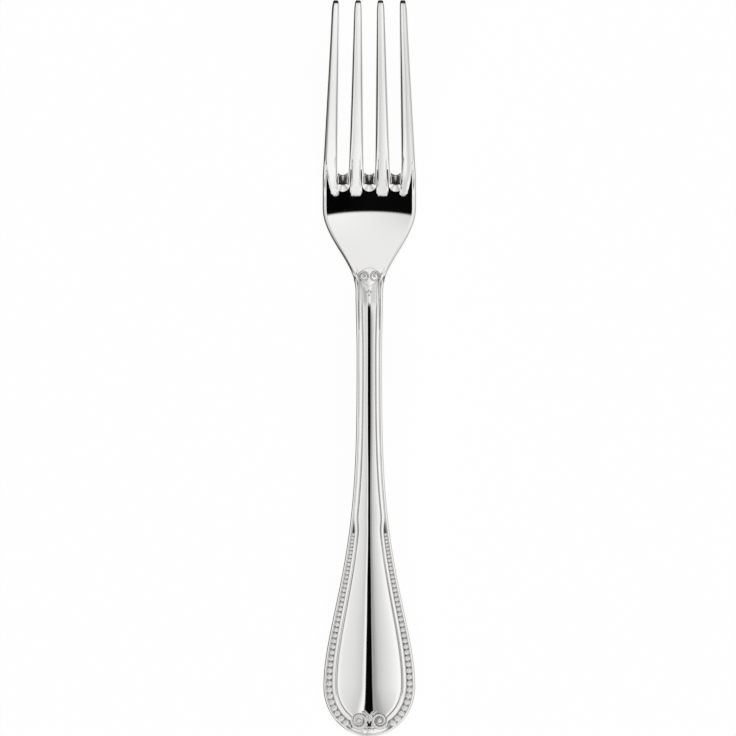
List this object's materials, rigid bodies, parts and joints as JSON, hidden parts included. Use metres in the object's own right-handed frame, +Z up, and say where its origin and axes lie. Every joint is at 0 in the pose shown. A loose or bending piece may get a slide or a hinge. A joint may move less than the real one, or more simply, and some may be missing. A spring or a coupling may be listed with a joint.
{
  "type": "dessert fork",
  "caption": "Silver-plated dessert fork with tapered tines, a dished head, a slim ridged stem and a rounded handle end with a bead-and-scroll border.",
  "frame": {"origin": "middle of the fork's bounding box in plan, on the table it lies on", "axes": "+X across the fork, +Y along it towards the tine points, +Z up with the fork lying face up"},
  "size_m": [0.0222, 0.1722, 0.0166],
  "materials": {
    "nickel_silver": "nickel silver as struck, under the plate and at the two rest flats",
    "silver": "mirror-polished silver plate"
  },
  "bodies": {
    "root": {"nickel_silver_blank": "nickel_silver", "silver_plate": "silver"}
  },
  "joints": []
}
